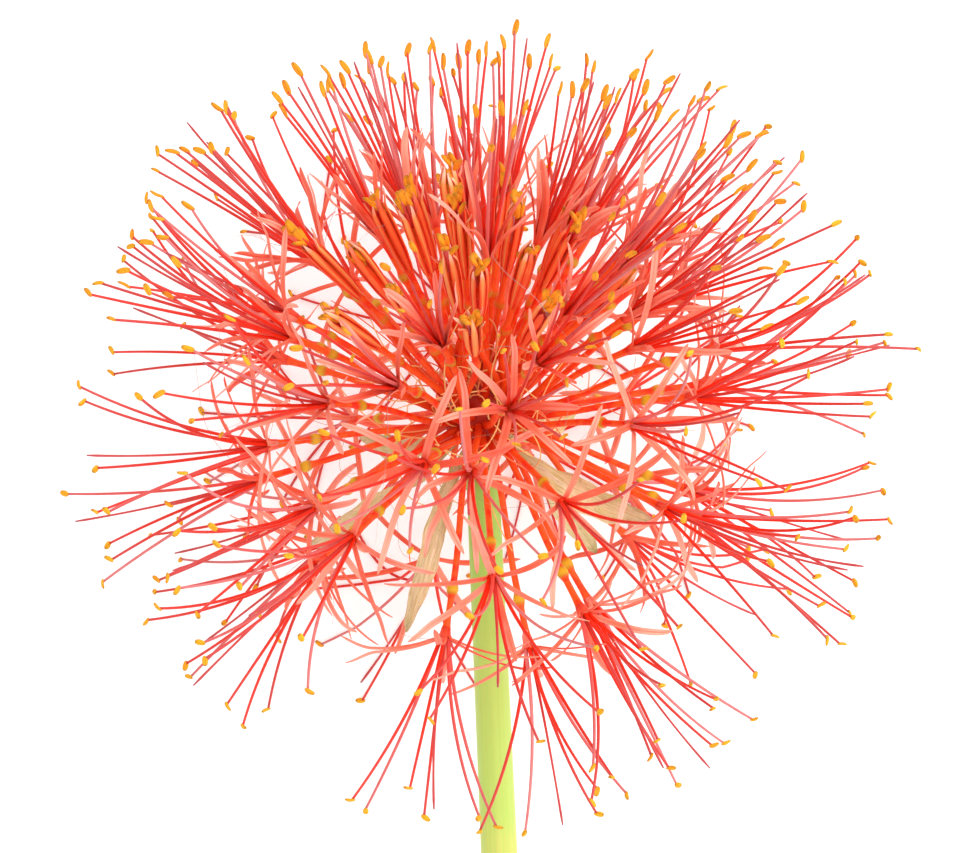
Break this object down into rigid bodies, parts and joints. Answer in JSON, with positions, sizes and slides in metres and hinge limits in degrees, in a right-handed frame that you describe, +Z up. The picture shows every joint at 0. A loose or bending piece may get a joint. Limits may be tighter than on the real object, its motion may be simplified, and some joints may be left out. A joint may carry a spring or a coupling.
{
  "type": "blood lily flower",
  "caption": "Cut flower with a round head of narrow coral florets and long gold-tipped stamens on a thick pale green stem, lying on its side.",
  "frame": {"origin": "on the surface that the flower lies on, under the centre of its bounding box", "axes": "+Z up from that surface, +Y along the flower from the stem's cut end to the head, +X to the right seen from above"},
  "size_m": [0.1974, 0.3273, 0.1619],
  "materials": {
    "stem": "smooth pale green plant skin, satin",
    "bract": "dry papery tan, fibrous, matt",
    "floret": "soft coral-red petal tissue, satin",
    "bud": "soft orange-salmon petal tissue, satin"
  },
  "bodies": {
    "root": {"stem": "stem", "bract_01": "bract", "bract_02": "bract", "bract_03": "bract", "bract_04": "bract", "bract_05": "bract", "bract_06": "bract", "bract_07": "bract", "floret_01": "floret", "floret_02": "floret", "floret_03": "floret", "floret_04": "floret", "floret_05": "floret", "floret_06": "floret", "floret_07": "floret", "floret_08": "floret", "floret_09": "floret", "floret_10": "floret", "floret_11": "floret", "floret_12": "floret", "floret_13": "floret", "floret_14": "floret", "floret_15": "floret", "floret_16": "floret", "floret_17": "floret", "floret_18": "floret", "floret_19": "floret", "floret_20": "floret", "floret_21": "floret", "floret_22": "floret", "floret_23": "floret", "floret_24": "floret", "floret_25": "floret", "floret_26": "floret", "floret_27": "floret", "floret_28": "floret", "floret_29": "floret", "floret_30": "floret", "floret_31": "floret", "floret_32": "floret", "floret_33": "floret", "floret_34": "floret", "floret_35": "floret", "floret_36": "floret", "floret_37": "floret", "floret_38": "floret", "floret_39": "floret", "floret_40": "floret", "floret_41": "floret", "floret_42": "floret", "floret_43": "floret", "floret_44": "floret", "floret_45": "floret", "floret_46": "floret", "floret_47": "floret", "floret_48": "floret", "bud_spray_01": "bud", "bud_spray_02": "bud", "bud_spray_03": "bud", "bud_spray_04": "bud"}
  },
  "joints": []
}
